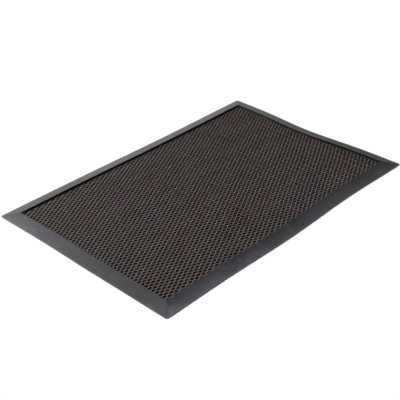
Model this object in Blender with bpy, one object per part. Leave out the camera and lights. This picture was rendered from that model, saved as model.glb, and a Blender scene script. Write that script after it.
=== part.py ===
"""Door mat: an open web of wavy plastic strands, held in a mitred and ramped edging frame.

Metres, +Z up. The origin is the middle of the mat on the floor, the long side runs along X.

The web stands on the flanges at the foot of the four edging strips, and a bead of adhesive
along each side holds its cut edge to the strip's inner wall. Each pair of fused strands is one
plain bar here, with the pair's true length, pitch and thickness.
"""

import math

import bmesh
import bpy
from mathutils import Matrix

# Driving dimensions
MAT_LENGTH = 0.600          # along X
MAT_WIDTH = 0.400           # along Y
EDGE_WIDTH = 0.025          # outer lip to inner wall, seen from above
EDGE_HEIGHT = 0.0072        # inner, highest edge of the ramp
LIP_HEIGHT = 0.0010         # outer edge of the ramp
LIP_RADIUS = 0.0004
CREST_RADIUS = 0.0008       # rounding between the ramp and the inner wall
SAG = 0.0004                # how far the middle of the ramp dips below a straight line
FLANGE_REACH = 0.011        # from the inner wall in under the web
FLANGE_THICKNESS = 0.0008
WEB_THICKNESS = 0.0036
PAIR_COUNT = 45             # pairs of fused strands across the opening
BEAD_WIDTH = 0.0012
BEAD_HEIGHT = 0.0022
FIT_GAP = 0.0003            # between neighbouring solids
WELD_DISTANCE = 1e-6

OPENING_LENGTH = MAT_LENGTH - 2 * EDGE_WIDTH
OPENING_WIDTH = MAT_WIDTH - 2 * EDGE_WIDTH
WEB_INSET = BEAD_WIDTH + 2 * FIT_GAP
WEB_BOTTOM = FLANGE_THICKNESS + FIT_GAP

# Steps along each stretch of the strip's outline
LIP_STEPS = 3
RAMP_STEPS = 6
CREST_STEPS = 5

# Each side: its turn about Z from the front, its outer length, and the mat's size across it
SIDES = {
    "front": (0, MAT_LENGTH, MAT_WIDTH),
    "right": (90, MAT_WIDTH, MAT_LENGTH),
    "back": (180, MAT_LENGTH, MAT_WIDTH),
    "left": (270, MAT_WIDTH, MAT_LENGTH),
}


def clear_scene():
    """Remove the objects of the startup scene."""
    for obj in list(bpy.data.objects):
        bpy.data.objects.remove(obj, do_unlink=True)


def new_collection(name):
    collection = bpy.data.collections.new(name)
    bpy.context.scene.collection.children.link(collection)
    return collection


def plastic(name, color, roughness):
    """A plain dielectric material."""
    material = bpy.data.materials.new(name)
    material.use_nodes = True
    shader = material.node_tree.nodes["Principled BSDF"]
    shader.inputs["Base Color"].default_value = (*color, 1.0)
    shader.inputs["Roughness"].default_value = roughness
    shader.inputs["Metallic"].default_value = 0.0
    return material


def arc(center, radius, start, end, steps):
    """Points on an arc, angles in degrees."""
    points = []
    for step in range(steps + 1):
        angle = math.radians(start + (end - start) * step / steps)
        points.append((center[0] + radius * math.cos(angle), center[1] + radius * math.sin(angle)))
    return points


def strip_profile():
    """Cross-section of the edging: x runs inward from the outer lip, y runs up."""
    slope = math.degrees(math.atan2(EDGE_HEIGHT - LIP_HEIGHT, EDGE_WIDTH))
    crest_center = (EDGE_WIDTH - CREST_RADIUS, EDGE_HEIGHT - CREST_RADIUS)
    lip_center = (LIP_RADIUS, LIP_HEIGHT - LIP_RADIUS)
    lip = arc(lip_center, LIP_RADIUS, 180, 90 + slope, LIP_STEPS)
    crest = arc(crest_center, CREST_RADIUS, 90 + slope, 0, CREST_STEPS)
    ramp = []
    for step in range(1, RAMP_STEPS):
        share = step / RAMP_STEPS
        x = lip[-1][0] + share * (crest[0][0] - lip[-1][0])
        y = lip[-1][1] + share * (crest[0][1] - lip[-1][1])
        ramp.append((x, y - 4 * SAG * share * (1 - share)))
    flange_end = EDGE_WIDTH + FLANGE_REACH
    flange = [(EDGE_WIDTH, FLANGE_THICKNESS), (flange_end, FLANGE_THICKNESS), (flange_end, 0)]
    return [(0, 0)] + lip + ramp + crest + flange


def extruded_outline(name, outline, length):
    """A closed mesh: the outline in local XY, extruded along local Z about its middle."""
    curve = bpy.data.curves.new(name, "CURVE")
    curve.dimensions = "2D"
    curve.fill_mode = "BOTH"
    curve.extrude = length / 2
    spline = curve.splines.new("POLY")
    spline.points.add(len(outline) - 1)
    for point, (x, y) in zip(spline.points, outline):
        point.co = (x, y, 0, 1)
    spline.use_cyclic_u = True
    guide = bpy.data.objects.new(name + "_outline", curve)
    bpy.context.scene.collection.objects.link(guide)
    bpy.context.view_layer.update()
    evaluated = guide.evaluated_get(bpy.context.evaluated_depsgraph_get())
    mesh = bpy.data.meshes.new_from_object(evaluated)
    bpy.data.objects.remove(guide, do_unlink=True)
    weld(mesh)
    mesh.name = name
    return mesh


def weld(mesh):
    """Join the loose caps of a filled curve to its sides, with the faces pointing out."""
    work = bmesh.new()
    work.from_mesh(mesh)
    bmesh.ops.remove_doubles(work, verts=work.verts, dist=WELD_DISTANCE)
    bmesh.ops.recalc_face_normals(work, faces=work.faces)
    work.to_mesh(mesh)
    work.free()


def edge_strip(side, collection, material):
    """One edging strip, mitred at both ends where it meets its neighbours."""
    turn, length, across = SIDES[side]
    mesh = extruded_outline("edge_strip_" + side, strip_profile(), length)
    # Both ends lean in at 45 degrees: a point x inward from the lip is x short of the corner.
    end_gap = FIT_GAP / 2 * math.sqrt(2)
    for vertex in mesh.vertices:
        reach = length / 2 - vertex.co.x - end_gap
        vertex.co.z = math.copysign(reach, vertex.co.z)
    mesh.shade_smooth()
    mesh.set_sharp_from_angle(angle=math.radians(30))
    mesh.materials.append(material)
    strip = bpy.data.objects.new("edge_strip_" + side, mesh)
    # Local x points inward, local y up and local z along the strip.
    upright = Matrix(((0, 0, 1), (1, 0, 0), (0, 1, 0))).to_4x4()
    place = Matrix.Translation((0, -across / 2, 0)) @ upright
    strip.matrix_world = Matrix.Rotation(math.radians(turn), 4, "Z") @ place
    collection.objects.link(strip)
    return strip


def block(name, size, center, collection, material):
    """A plain rectangular solid."""
    bpy.ops.mesh.primitive_cube_add(size=1)
    obj = bpy.context.active_object
    obj.data.transform(Matrix.Diagonal((*size, 1)))
    obj.name = name
    obj.data.name = name
    obj.location = center
    obj.data.materials.append(material)
    for owner in list(obj.users_collection):
        owner.objects.unlink(obj)
    collection.objects.link(obj)
    return obj


def web_strand_pairs(collection, material):
    """Bars across the opening, side by side, each standing for two fused strands."""
    web_length = OPENING_LENGTH - 2 * WEB_INSET
    web_width = OPENING_WIDTH - 2 * WEB_INSET
    pitch = (web_width + FIT_GAP) / PAIR_COUNT
    bar_size = (web_length, pitch - FIT_GAP, WEB_THICKNESS)
    for index in range(PAIR_COUNT):
        y = (index - (PAIR_COUNT - 1) / 2) * pitch
        center = (0, y, WEB_BOTTOM + WEB_THICKNESS / 2)
        block(f"web_strand_pair_{index + 1:02d}", bar_size, center, collection, material)


def adhesive_beads(collection, material):
    """Beads in the gap between the web's cut edge and the strips' inner walls."""
    z = WEB_BOTTOM + BEAD_HEIGHT / 2
    wall_gap = FIT_GAP + BEAD_WIDTH / 2
    long_size = (OPENING_LENGTH - 2 * FIT_GAP, BEAD_WIDTH, BEAD_HEIGHT)
    short_size = (BEAD_WIDTH, OPENING_WIDTH - 2 * WEB_INSET, BEAD_HEIGHT)
    for name, sign in (("front", -1), ("back", 1)):
        center = (0, sign * (OPENING_WIDTH / 2 - wall_gap), z)
        block("adhesive_bead_" + name, long_size, center, collection, material)
    for name, sign in (("left", -1), ("right", 1)):
        center = (sign * (OPENING_LENGTH / 2 - wall_gap), 0, z)
        block("adhesive_bead_" + name, short_size, center, collection, material)


def main():
    clear_scene()
    mat = new_collection("door_mat")
    edging = plastic("edging", (0.055, 0.054, 0.062), 0.42)
    web = plastic("web_strand", (0.075, 0.062, 0.058), 0.5)
    adhesive = plastic("adhesive", (0.03, 0.03, 0.032), 0.3)
    for side in SIDES:
        edge_strip(side, mat, edging)
    web_strand_pairs(mat, web)
    adhesive_beads(mat, adhesive)


main()
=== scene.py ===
import math

import bpy
import numpy as np
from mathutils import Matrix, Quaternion, Vector


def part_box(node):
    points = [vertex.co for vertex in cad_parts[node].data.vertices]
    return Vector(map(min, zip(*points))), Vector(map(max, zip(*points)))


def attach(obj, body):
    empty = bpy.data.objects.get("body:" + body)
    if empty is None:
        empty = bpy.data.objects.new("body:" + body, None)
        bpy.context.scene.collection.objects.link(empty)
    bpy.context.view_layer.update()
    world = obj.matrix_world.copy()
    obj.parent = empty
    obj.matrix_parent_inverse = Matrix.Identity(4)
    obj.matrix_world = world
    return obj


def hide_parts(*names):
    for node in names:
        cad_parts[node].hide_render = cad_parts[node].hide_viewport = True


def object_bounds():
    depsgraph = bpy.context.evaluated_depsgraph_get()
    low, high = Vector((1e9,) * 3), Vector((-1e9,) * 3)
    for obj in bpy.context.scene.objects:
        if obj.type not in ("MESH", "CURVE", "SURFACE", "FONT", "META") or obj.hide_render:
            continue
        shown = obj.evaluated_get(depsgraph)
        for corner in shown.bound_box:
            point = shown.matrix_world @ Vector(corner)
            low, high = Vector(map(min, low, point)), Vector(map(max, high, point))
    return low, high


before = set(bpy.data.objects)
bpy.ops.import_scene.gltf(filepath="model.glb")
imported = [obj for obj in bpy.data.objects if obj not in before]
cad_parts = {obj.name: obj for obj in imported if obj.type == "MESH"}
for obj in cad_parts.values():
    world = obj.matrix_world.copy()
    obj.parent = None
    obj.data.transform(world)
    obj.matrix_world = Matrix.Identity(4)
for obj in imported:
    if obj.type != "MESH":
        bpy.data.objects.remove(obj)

# Everything is in metres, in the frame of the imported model: X along the mat's long side,
# Z up, and the origin in the middle of the mat on the floor.

cad_low, cad_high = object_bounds()

# Edging, seen in cross-section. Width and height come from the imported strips.
FIT_GAP = 0.0003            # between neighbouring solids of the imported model
EDGE_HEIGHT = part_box("edge_strip_front")[1][2]
EDGE_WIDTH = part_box("adhesive_bead_left")[0][0] - FIT_GAP - cad_low[0]
FLANGE_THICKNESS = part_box("adhesive_bead_left")[0][2] - FIT_GAP
FLANGE_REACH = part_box("edge_strip_left")[1][0] - cad_low[0] - EDGE_WIDTH
LIP_HEIGHT = 0.0010
LIP_RADIUS = 0.0004
CREST_RADIUS = 0.0008
SAG = 0.0004                # how far the middle of the ramp dips below a straight line
MITRE_GROOVE = 0.00012      # half the width of the seam between two strips
TIP_RADIUS = 0.0035         # rounding of the mat's four corners, seen from above
LIP_STEPS = 4
RAMP_STEPS = 13
CREST_STEPS = 7
CORNER_STATIONS = (0, 0.15, 0.35, 0.6, 0.9, 1.3, 2, 3, 4.5, 6.5)    # from a corner, in tip radii
MIDDLE_STATIONS = 88

# Web. The pair nodes give its place, its thickness and the distance between pairs.
PAIR_COUNT = sum(name.startswith("web_strand_pair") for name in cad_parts)
WEB_LOW = Vector(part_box("web_strand_pair_01")[0])
WEB_HIGH = Vector(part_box(f"web_strand_pair_{PAIR_COUNT:02d}")[1])
PAIR_PITCH = (WEB_HIGH.y - WEB_LOW.y + FIT_GAP) / PAIR_COUNT
STRAND_PITCH = PAIR_PITCH / 2
WAVE_LENGTH = 0.0146
STRAND_WIDTHS = (0.0018, 0.00165)       # at the left and the right end of the web
LOWER_ROW = (0.00005, 0.00055)          # how much lower every second strand is, left and right
TOP_RADIUS = 0.00045        # rounding of a strand's top edges
TOP_STEPS = 3
FUSED_OVERLAP = 0.0006      # how far fused crests sink into each other
STATIONS_PER_WAVE = 14
STEEPNESS = 2.0             # the higher, the longer the fused crests and the steeper the runs between
WAVE_SLIP = 0.55            # from the front to the back, at the left end, in wave lengths
WOBBLE = 0.02               # how unevenly each strand's waves are spaced, in wave lengths
WOBBLE_CYCLES = (6, 17)     # per metre
RANDOM_SEED = 7

# Adhesive beads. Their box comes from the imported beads.
BEAD_STATIONS = 160
BEAD_SIDES = 10
BEAD_FILL = 0.86            # mean height of the lumps, as a share of the box
BEAD_LUMPS = 0.14           # how far they rise and fall from it
BEAD_WAVES = ((0.6, 43, 0.1), (0.4, 97, 0.7))

SHARP_ANGLE = 38            # degrees: an edge that turns more than this is shaded hard


# --- Meshes ---------------------------------------------------------------------------------


def ripple(x, waves):
    """A smooth curve: a sum of waves, each (height, cycles per metre, phase)."""
    total = np.zeros_like(x)
    for height, cycles, phase in waves:
        total += height * np.sin(2 * np.pi * (cycles * x + phase))
    return total


def skin(name, rings, **attributes):
    """A closed mesh over rings of points, an array of (stations, points in a ring, 3).

    The rings run clockwise seen from the last one, so that the faces point outwards.
    """
    stations, points = rings.shape[:2]
    index = np.arange(stations * points).reshape(stations, points)
    after = np.roll(index, -1, axis=1)
    sides = np.stack([index[:-1], index[1:], after[1:], after[:-1]], axis=-1).reshape(-1, 4)
    faces = sides.tolist() + [index[0].tolist(), index[-1, ::-1].tolist()]
    mesh = bpy.data.meshes.new(name)
    mesh.from_pydata(rings.reshape(-1, 3).tolist(), [], faces)
    for key, values in attributes.items():
        layer = mesh.attributes.new(key, "FLOAT", "POINT")
        layer.data.foreach_set("value", np.ascontiguousarray(values, np.float32).ravel())
    mesh.shade_smooth()
    mesh.set_sharp_from_angle(angle=math.radians(SHARP_ANGLE))
    return mesh


def joined(name, meshes):
    """One mesh out of several."""
    verts, faces, offset = [], [], 0
    for mesh in meshes:
        verts += [vertex.co[:] for vertex in mesh.vertices]
        faces += [[offset + index for index in face.vertices] for face in mesh.polygons]
        offset += len(mesh.vertices)
    whole = bpy.data.meshes.new(name)
    whole.from_pydata(verts, [], faces)
    whole.shade_smooth()
    whole.set_sharp_from_angle(angle=math.radians(SHARP_ANGLE))
    return whole


def piece(name, mesh, material, slot, *nodes):
    """Show a mesh in place of CAD nodes."""
    mesh.materials.append(material)
    obj = bpy.data.objects.new(name, mesh)
    bpy.context.scene.collection.objects.link(obj)
    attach(obj, "root")
    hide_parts(*nodes)


# --- How the mat lies -----------------------------------------------------------------------


# How far each side of the rim bows outwards: cosine terms along the side, from its -X or -Y end.
RIM_BOWS = {
    "front": (-0.0003, -0.0005, -0.0006, -0.0010, 0.0012),
    "right": (-0.0015, -0.0013, 0.0038, -0.0003, -0.0010),
    "back": (-0.0014, 0.0009, 0.0007, -0.0006),
    "left": (-0.0002, 0.0004, 0.0002, -0.0003, 0.0003),
}
BOW_REACH = 0.09            # the bow has died away to about a third this far in from the rim


def bow(side, share):
    """How far a side bows outwards, at shares of its length."""
    return sum(size * np.cos(term * np.pi * share) for term, size in enumerate(RIM_BOWS[side]))


def settle(points):
    """Lay the flat mat down as a soft one: its rim isn't quite straight, and the web follows."""
    x, y = points[..., 0], points[..., 1]
    from_left, from_front = x - cad_low[0], y - cad_low[1]
    from_right, from_back = cad_high[0] - x, cad_high[1] - y
    share_x = from_left / (from_left + from_right)
    share_y = from_front / (from_front + from_back)
    moved = points.copy()
    moved[..., 0] -= bow("left", share_y) * np.exp(-(from_left / BOW_REACH) ** 2)
    moved[..., 0] += bow("right", share_y) * np.exp(-(from_right / BOW_REACH) ** 2)
    moved[..., 1] -= bow("front", share_x) * np.exp(-(from_front / BOW_REACH) ** 2)
    moved[..., 1] += bow("back", share_x) * np.exp(-(from_back / BOW_REACH) ** 2)
    return moved


# --- Edging strips --------------------------------------------------------------------------


def arc(center, radius, start, end, steps):
    """Points on an arc, angles in degrees."""
    angles = np.radians(np.linspace(start, end, steps + 1))
    return [(center[0] + radius * math.cos(a), center[1] + radius * math.sin(a)) for a in angles]


def strip_profile():
    """Cross-section: how far in from the lip, and how high."""
    slope = math.degrees(math.atan2(EDGE_HEIGHT - LIP_HEIGHT, EDGE_WIDTH))
    lip_center = (LIP_RADIUS, LIP_HEIGHT - LIP_RADIUS)
    crest_center = (EDGE_WIDTH - CREST_RADIUS, EDGE_HEIGHT - CREST_RADIUS)
    lip = arc(lip_center, LIP_RADIUS, 180, 90 + slope, LIP_STEPS)
    crest = arc(crest_center, CREST_RADIUS, 90 + slope, 0, CREST_STEPS)
    ramp = []
    for share in np.linspace(0, 1, RAMP_STEPS + 1)[1:-1]:
        inward = lip[-1][0] + share * (crest[0][0] - lip[-1][0])
        height = lip[-1][1] + share * (crest[0][1] - lip[-1][1])
        ramp.append((inward, height - 4 * SAG * share * (1 - share)))
    flange_end = EDGE_WIDTH + FLANGE_REACH
    flange = [(EDGE_WIDTH, FLANGE_THICKNESS), (flange_end, FLANGE_THICKNESS), (flange_end, 0)]
    return np.array([(0, 0)] + lip + ramp + crest + flange)


def round_tip(along, inward):
    """Turn the square corner of the mat into a round one; the mitre line stays where it is."""
    near = (along < TIP_RADIUS) & (inward < TIP_RADIUS)
    from_x, from_y = along - TIP_RADIUS, inward - TIP_RADIUS
    reach = np.maximum(np.abs(from_x), np.abs(from_y))
    # The floor under the distance avoids a division by zero at the middle of the rounding.
    distance = np.maximum(np.hypot(from_x, from_y), 1e-9)
    scale = np.where(near, reach / distance, 1.0)
    new_along = np.where(near, TIP_RADIUS + from_x * scale, along)
    new_inward = np.where(near, TIP_RADIUS + from_y * scale, inward)
    return new_along, new_inward


def strip_rings(length):
    """The strip along +X from its left corner at the origin: places along, inward and up."""
    inward, height = strip_profile().T
    # Stations crowd together near the two corners, where the tips are rounded.
    near = np.array(CORNER_STATIONS) * TIP_RADIUS
    middle = np.linspace(near[-1], length - near[-1], MIDDLE_STATIONS + 2)[1:-1]
    spine = np.concatenate([near, middle, length - near[::-1]]) / length
    start = inward + MITRE_GROOVE
    along = start + spine[:, None] * (length - 2 * start)
    inward = np.broadcast_to(inward, along.shape)
    height = np.broadcast_to(height, along.shape)
    from_right = along > length / 2
    from_corner = np.where(from_right, length - along, along)
    from_corner, rounded = round_tip(from_corner, inward)
    along = np.where(from_right, length - from_corner, from_corner)
    return along, rounded, height


# Painted sheen and shade along each strip, anticlockwise around the mat: how much paler or darker the
# colour is made where light falls brighter or dimmer; 1 is the plain tone.
PAINTED_LIGHT_ALONG = {
    "front": (2.20, 1.87, 1.60, 1.28, 0.98, 0.82, 1.00),
    "right": (0.95, 0.30, 0.33, 0.80, 0.80, 0.95, 1.90),
    "back": (1.35, 0.98, 1.00, 1.10, 1.10, 0.76, 1.30),
    "left": (1.45, 1.40, 1.00, 0.70, 0.57, 0.65, 0.95),
}
PAINTED_LIGHT_ACROSS = 0.5             # painted sheen and shade: paler at the lip and darker at the crest by this share, as the light falls across the strip's top


def paleness(side, share_along, share_across):
    """Painted sheen and shade on the strip: how much paler or darker, at shares of its length and of
    its width in from the lip.
    """
    values = PAINTED_LIGHT_ALONG[side]
    places = np.linspace(0, 1, len(values))
    return np.interp(share_along, places, values) * (1 + PAINTED_LIGHT_ACROSS * (1 - 2 * share_across))


def edge_strip(side, turn, length, across, material):
    along, inward, height = strip_rings(length)
    flat = np.stack([along - length / 2, inward - across / 2, height], axis=-1)
    cosine, sine = math.cos(math.radians(turn)), math.sin(math.radians(turn))
    turned = np.stack([
        cosine * flat[..., 0] - sine * flat[..., 1],
        sine * flat[..., 0] + cosine * flat[..., 1],
        flat[..., 2],
    ], axis=-1)
    # Each point also carries how much painted sheen and shade its colour gets.
    mesh = skin("edging_" + side, settle(turned), along=along, across=inward,
                paleness=paleness(side, along / length, inward / EDGE_WIDTH))
    piece("edging_" + side, mesh, material, "edging", "edge_strip_" + side)


# --- Web of strands -------------------------------------------------------------------------


def strand_section(width, top, low):
    """Cross-section of a strand: sideways offset and height, with a rounded top."""
    half = width / 2
    radius = TOP_RADIUS
    right = arc((half - radius, top - radius), radius, 0, 90, TOP_STEPS)
    left = arc((radius - half, top - radius), radius, 90, 180, TOP_STEPS)
    return np.array(right + left + [(-half, low), (half, low)])


def drift(x, y):
    """How far the waves have slipped along a strand, in wave lengths."""
    from_middle = y / (WEB_HIGH.y - WEB_LOW.y)
    from_right = (WEB_HIGH.x - x) / (WEB_HIGH.x - WEB_LOW.x)
    return WAVE_SLIP * from_middle * from_right


def strand_mesh(row, random):
    """One strand: a wave along X, half a wave off its neighbours'. Its wobble is random."""
    widest, narrowest = STRAND_WIDTHS
    offset, height = strand_section(widest, WEB_HIGH.z, WEB_LOW.z).T
    count = int((WEB_HIGH.x - WEB_LOW.x) / WAVE_LENGTH * STATIONS_PER_WAVE)
    x = np.linspace(WEB_LOW.x, WEB_HIGH.x, count + 1)
    width = np.linspace(widest, narrowest, count + 1)
    lowered = (row % 2) * np.linspace(*LOWER_ROW, count + 1) / (WEB_HIGH.z - WEB_LOW.z)
    middle = WEB_LOW.y + (row + 0.5) * STRAND_PITCH
    swing = (STRAND_PITCH - width + FUSED_OVERLAP) / 2
    wobble = ripple(x, [(WOBBLE, cycles, random.random()) for cycles in WOBBLE_CYCLES])
    angle = 2 * np.pi * (x / WAVE_LENGTH + row / 2 + drift(x, middle) + wobble)
    y = middle + swing * np.tanh(STEEPNESS * np.sin(angle)) / math.tanh(STEEPNESS)
    slope = np.gradient(y, x)
    across = np.stack([-slope, np.ones_like(slope)], axis=-1)
    across *= (width / widest / np.linalg.norm(across, axis=1))[:, None]
    rings = np.empty((len(x), len(offset), 3))
    rings[..., 0] = x[:, None] + across[:, :1] * offset
    rings[..., 1] = y[:, None] + across[:, 1:] * offset
    rings[..., 2] = WEB_LOW.z + (1 - lowered[:, None]) * (height - WEB_LOW.z)
    rings[0, :, 0] = WEB_LOW.x
    rings[-1, :, 0] = WEB_HIGH.x
    # The section runs anticlockwise seen from +X, so it is turned over.
    return skin("strand", settle(rings)[:, ::-1])


def web(material):
    random = np.random.default_rng(RANDOM_SEED)
    for pair in range(PAIR_COUNT):
        strands = [strand_mesh(2 * pair + half, random) for half in range(2)]
        name = f"strands_{pair + 1:02d}"
        piece(name, joined(name, strands), material, "web_strand", f"web_strand_pair_{pair + 1:02d}")
        for mesh in strands:
            bpy.data.meshes.remove(mesh)


# --- Adhesive -------------------------------------------------------------------------------


def adhesive_bead(side, material):
    """A low bead between the web's cut edge and the inner wall of a strip."""
    low, high = (np.array(corner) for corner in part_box("adhesive_bead_" + side))
    run = 0 if high[0] - low[0] > high[1] - low[1] else 1
    width = high[1 - run] - low[1 - run]
    height = high[2] - low[2]
    places = np.linspace(low[run], high[run], BEAD_STATIONS)
    angles = np.radians(np.linspace(0, 360, BEAD_SIDES, endpoint=False))
    lumps = BEAD_FILL + BEAD_LUMPS * ripple(places, BEAD_WAVES)
    rings = np.empty((len(places), len(angles), 3))
    rings[..., run] = places[:, None]
    middle = (low[1 - run] + high[1 - run]) / 2
    rings[..., 1 - run] = middle + np.cos(angles) * width / 2
    rings[..., 2] = low[2] + (0.5 + 0.5 * np.sin(angles)) * height * lumps[:, None]
    if run == 0:
        # Along X the ring runs anticlockwise seen from its last end, so it is turned over.
        rings = rings[:, ::-1]
    mesh = skin("adhesive_" + side, settle(rings))
    piece("adhesive_" + side, mesh, material, "adhesive", "adhesive_bead_" + side)


# --- Materials ------------------------------------------------------------------------------


# Base colours are a brightness times a tint. Tones are dark, middle and pale.
STRAND_TONES = (0.058, 0.078, 0.109)
STRAND_TINTS = ((1.0, 0.68, 0.64), (1.0, 0.86, 0.75), (1.0, 0.70, 0.84))    # russet, olive, mauve
STRAND_SHEEN = (1.0, 0.88, 0.86)
STRAND_ROUGHNESS = 0.45
STRAND_SPECULAR = 0.25
EDGING_TONES = (0.018, 0.036, 0.062)
EDGING_TINT = (1.0, 0.96, 1.12)
EDGING_SHEEN = (0.95, 0.93, 1.0)
EDGING_ROUGHNESS = 0.45
EDGING_SPECULAR = 0.30
ADHESIVE_TONES = (0.012, 0.022)


def new_material(name):
    material = bpy.data.materials.new(name)
    material.use_nodes = True
    return material, material.node_tree, material.node_tree.nodes["Principled BSDF"]


def node(tree, kind, settings=(), **inputs):
    """A shader node with its properties and its inputs set; an input can be another's output."""
    made = tree.nodes.new(kind)
    for key, value in dict(settings).items():
        setattr(made, key, value)
    for key, value in inputs.items():
        socket = made.inputs[key.replace("_", " ")]
        if isinstance(value, bpy.types.NodeSocket):
            tree.links.new(value, socket)
        else:
            socket.default_value = value
    return made


def noise(tree, coordinates, scale, detail=3.0, roughness=0.5):
    return node(
        tree, "ShaderNodeTexNoise", Vector=coordinates, Scale=scale, Detail=detail,
        Roughness=roughness,
    ).outputs["Fac"]


def ramp(tree, factor, stops):
    """A colour ramp: stops are (position, grey value or colour)."""
    made = node(tree, "ShaderNodeValToRGB", Fac=factor)
    elements = made.color_ramp.elements
    while len(elements) < len(stops):
        elements.new(0.5)
    for element, (position, value) in zip(elements, stops):
        element.position = position
        element.color = (*value, 1) if isinstance(value, tuple) else (value, value, value, 1)
    return made.outputs["Color"]


def mixed(tree, factor, first, second, blend="MIX"):
    """Two colours mixed. The node's factor and its two colours are sockets 0, 6 and 7."""
    made = node(tree, "ShaderNodeMix", {"data_type": "RGBA", "blend_type": blend})
    sockets = (made.inputs[0], made.inputs[6], made.inputs[7])
    for socket, value in zip(sockets, (factor, first, second)):
        if isinstance(value, bpy.types.NodeSocket):
            tree.links.new(value, socket)
        else:
            socket.default_value = value if isinstance(value, float) else (*value, 1)
    return made.outputs[2]


def bumped(tree, height, strength, distance, normal=None):
    made = node(tree, "ShaderNodeBump", Height=height, Strength=strength, Distance=distance)
    if normal is not None:
        tree.links.new(normal, made.inputs["Normal"])
    return made.outputs["Normal"]


def tinted(tones, tint):
    return [tuple(tone * part for part in tint) for tone in tones]


def attribute(tree, name):
    return node(tree, "ShaderNodeAttribute", {"attribute_name": name}).outputs["Fac"]


def vector(tree, x, y):
    return node(tree, "ShaderNodeCombineXYZ", X=x, Y=y).outputs["Vector"]


def scaled(tree, value, factor):
    made = node(tree, "ShaderNodeMath", {"operation": "MULTIPLY"})
    tree.links.new(value, made.inputs[0])
    made.inputs[1].default_value = factor
    return made.outputs[0]


def edging_material():
    """Satin charcoal vinyl: fine grain, faint draw lines along the strip, scuffs, a worn lip, and
    painted sheen and shade along and across each strip.
    """
    material, tree, shader = new_material("edging_vinyl")
    place = node(tree, "ShaderNodeTexCoord").outputs["Object"]
    along, across = attribute(tree, "along"), attribute(tree, "across")
    clouds = noise(tree, place, scale=14, detail=5, roughness=0.6)
    scuffs = noise(tree, place, scale=60, detail=6, roughness=0.7)
    grain = noise(tree, place, scale=2200, detail=2)
    # Draw lines are long along the strip and about a millimetre across it.
    stretched = vector(tree, scaled(tree, along, 5), scaled(tree, across, 900))
    lines = noise(tree, stretched, scale=1, detail=3)
    dark, middle, pale = tinted(EDGING_TONES, EDGING_TINT)
    color = ramp(tree, clouds, [(0.38, dark), (0.62, middle)])
    color = mixed(tree, ramp(tree, lines, [(0.5, 0.0), (0.75, 0.35)]), color, pale)
    color = mixed(tree, ramp(tree, scuffs, [(0.54, 0.0), (0.68, 0.8)]), color, pale)
    # Soles and brooms rub the lip pale; stops are shares of the strip's width.
    share = scaled(tree, across, 1 / EDGE_WIDTH)
    color = mixed(tree, ramp(tree, share, [(0.02, 0.7), (0.12, 0.0)]), color, pale)
    # Painted sheen and shade: whole stretches are paler or darker where the light falls brighter or
    # dimmer on them.
    color = mixed(tree, 1.0, color, attribute(tree, "paleness"), "MULTIPLY")
    tree.links.new(color, shader.inputs["Base Color"])
    rough = mixed(tree, 0.5, scuffs, lines)
    rough = ramp(tree, rough, [(0.35, EDGING_ROUGHNESS - 0.05), (0.65, EDGING_ROUGHNESS + 0.07)])
    tree.links.new(rough, shader.inputs["Roughness"])
    shader.inputs["Specular IOR Level"].default_value = EDGING_SPECULAR
    shader.inputs["Specular Tint"].default_value = (*EDGING_SHEEN, 1)
    normal = bumped(tree, grain, strength=0.3, distance=0.0002)
    normal = bumped(tree, lines, strength=0.12, distance=0.0003, normal=normal)
    tree.links.new(normal, shader.inputs["Normal"])
    return material


def strand_material():
    """Warm dark vinyl: each strand a little different."""
    material, tree, shader = new_material("strand_vinyl")
    place = node(tree, "ShaderNodeTexCoord").outputs["Object"]
    parts = node(tree, "ShaderNodeSeparateXYZ", Vector=place)
    patches = noise(tree, place, scale=18, detail=4)
    speckle = noise(tree, place, scale=700, detail=3)
    # Almost constant along a strand and different on the next one.
    along = scaled(tree, parts.outputs["X"], 9)
    across = scaled(tree, parts.outputs["Y"], 0.7 / STRAND_PITCH)
    strands = noise(tree, vector(tree, along, across), scale=1, detail=1)
    tone = mixed(tree, 0.45, strands, speckle)
    shades = []
    for tint in STRAND_TINTS:
        dark, middle, pale = tinted(STRAND_TONES, tint)
        shades.append(ramp(tree, tone, [(0.34, dark), (0.5, middle), (0.66, pale)]))
    color = mixed(tree, ramp(tree, patches, [(0.38, 0.0), (0.52, 1.0)]), shades[0], shades[1])
    color = mixed(tree, ramp(tree, patches, [(0.54, 0.0), (0.64, 1.0)]), color, shades[2])
    tree.links.new(color, shader.inputs["Base Color"])
    rough = ramp(tree, speckle, [(0.3, STRAND_ROUGHNESS - 0.07), (0.7, STRAND_ROUGHNESS + 0.07)])
    tree.links.new(rough, shader.inputs["Roughness"])
    shader.inputs["Specular IOR Level"].default_value = STRAND_SPECULAR
    shader.inputs["Specular Tint"].default_value = (*STRAND_SHEEN, 1)
    normal = bumped(tree, speckle, strength=0.3, distance=0.0003)
    tree.links.new(normal, shader.inputs["Normal"])
    return material


def adhesive_material():
    material, tree, shader = new_material("adhesive_black")
    place = node(tree, "ShaderNodeTexCoord").outputs["Object"]
    wrinkles = noise(tree, place, scale=300, detail=3)
    dark, pale = ADHESIVE_TONES
    tree.links.new(ramp(tree, wrinkles, [(0.3, dark), (0.7, pale)]), shader.inputs["Base Color"])
    tree.links.new(ramp(tree, wrinkles, [(0.3, 0.25), (0.7, 0.4)]), shader.inputs["Roughness"])
    normal = bumped(tree, wrinkles, strength=0.4, distance=0.0005)
    tree.links.new(normal, shader.inputs["Normal"])
    return material


def floor_material():
    material, _, shader = new_material("white_floor")
    shader.inputs["Base Color"].default_value = (0.92, 0.92, 0.92, 1)
    shader.inputs["Roughness"].default_value = 0.7
    shader.inputs["Specular IOR Level"].default_value = 0.2
    return material


def dome_material():
    material, _, shader = new_material("white_dome")
    shader.inputs["Base Color"].default_value = (0, 0, 0, 1)
    shader.inputs["Specular IOR Level"].default_value = 0.0
    shader.inputs["Emission Color"].default_value = (1, 1, 1, 1)
    shader.inputs["Emission Strength"].default_value = 1.0
    return material


# --- Studio ---------------------------------------------------------------------------------

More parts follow.
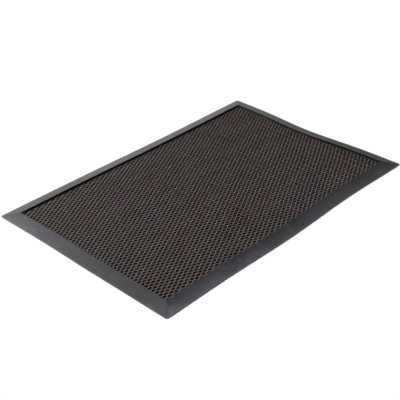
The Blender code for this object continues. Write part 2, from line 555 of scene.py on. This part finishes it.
# Softboxes, most of them behind the mat as the camera sees it: azimuth from +X and elevation in
# degrees, and W/m2. They are suns with a wide disc, so that the whole floor is lit evenly.
SOFTBOXES = {
    "softbox_right": (20, 30, 0.18),
    "softbox_back_right": (65, 30, 0.91),
    "softbox_back": (110, 30, 4.98),
    "softbox_left": (155, 30, 0.28),
    "softbox_low_right": (45, 15, 0.17),
    "softbox_high": (0, 55, 0.19),
    "softbox_front": (300, 45, 0.20),
}
SOFTBOX_SPREAD = 32         # degrees across
SKY_COLOR = (0.96, 0.98, 1.0)
SKY_STRENGTH = 0.004
DOME_RADIUS = 30            # also half the floor's width
FLOOR_DROP = 0.0002         # the floor is this far below the mat, so that they don't coincide
CAMERA_PLACE = Vector((-0.9667, -0.9126, 0.8102))
CAMERA_AIM = Vector((-0.0370, -0.0151, 0.0010))
CAMERA_ROLL = -1.02         # degrees
CAMERA_LENS = 79.42         # mm, on a 36 mm sensor


def camera():
    data = bpy.data.cameras.new("camera")
    data.lens = CAMERA_LENS
    data.sensor_width = 36
    obj = bpy.data.objects.new("camera", data)
    obj.location = CAMERA_PLACE
    look = (CAMERA_AIM - CAMERA_PLACE).normalized()
    level = look.to_track_quat("-Z", "Y")
    obj.rotation_mode = "QUATERNION"
    obj.rotation_quaternion = level @ Quaternion((0, 0, 1), math.radians(CAMERA_ROLL))
    bpy.context.scene.collection.objects.link(obj)
    bpy.context.scene.camera = obj


def softbox(name, azimuth, elevation, strength):
    data = bpy.data.lights.new(name, "SUN")
    data.angle = math.radians(SOFTBOX_SPREAD)
    data.energy = strength
    obj = bpy.data.objects.new(name, data)
    obj.rotation_euler = (math.radians(90 - elevation), 0, math.radians(azimuth + 90))
    bpy.context.scene.collection.objects.link(obj)


def stage_set():
    """A wide floor, and a white dome behind it that only the camera sees."""
    mesh = bpy.data.meshes.new("floor")
    half = DOME_RADIUS
    corners = [(-half, -half, 0), (half, -half, 0), (half, half, 0), (-half, half, 0)]
    mesh.from_pydata(corners, [], [(0, 1, 2, 3)])
    mesh.materials.append(floor_material())
    floor = bpy.data.objects.new("floor", mesh)
    floor.location.z = -FLOOR_DROP
    bpy.context.scene.collection.objects.link(floor)
    bpy.ops.mesh.primitive_uv_sphere_add(segments=64, ring_count=32, radius=DOME_RADIUS)
    dome = bpy.context.active_object
    dome.name = "dome"
    dome.data.materials.append(dome_material())
    dome.visible_diffuse = False
    dome.visible_glossy = False
    dome.visible_shadow = False


def studio():
    stage_set()
    world = bpy.data.worlds.new("studio")
    world.use_nodes = True
    sky = world.node_tree.nodes["Background"]
    sky.inputs["Color"].default_value = (*SKY_COLOR, 1)
    sky.inputs["Strength"].default_value = SKY_STRENGTH
    bpy.context.scene.world = world
    for name, settings in SOFTBOXES.items():
        softbox(name, *settings)
    bpy.context.scene.view_settings.view_transform = "Standard"
    camera()


def main():
    edging = edging_material()
    strand = strand_material()
    adhesive = adhesive_material()
    long_side = cad_high[0] - cad_low[0]
    short_side = cad_high[1] - cad_low[1]
    edge_strip("front", 0, long_side, short_side, edging)
    edge_strip("right", 90, short_side, long_side, edging)
    edge_strip("back", 180, long_side, short_side, edging)
    edge_strip("left", 270, short_side, long_side, edging)
    web(strand)
    for side in ("front", "right", "back", "left"):
        adhesive_bead(side, adhesive)
    studio()


main()
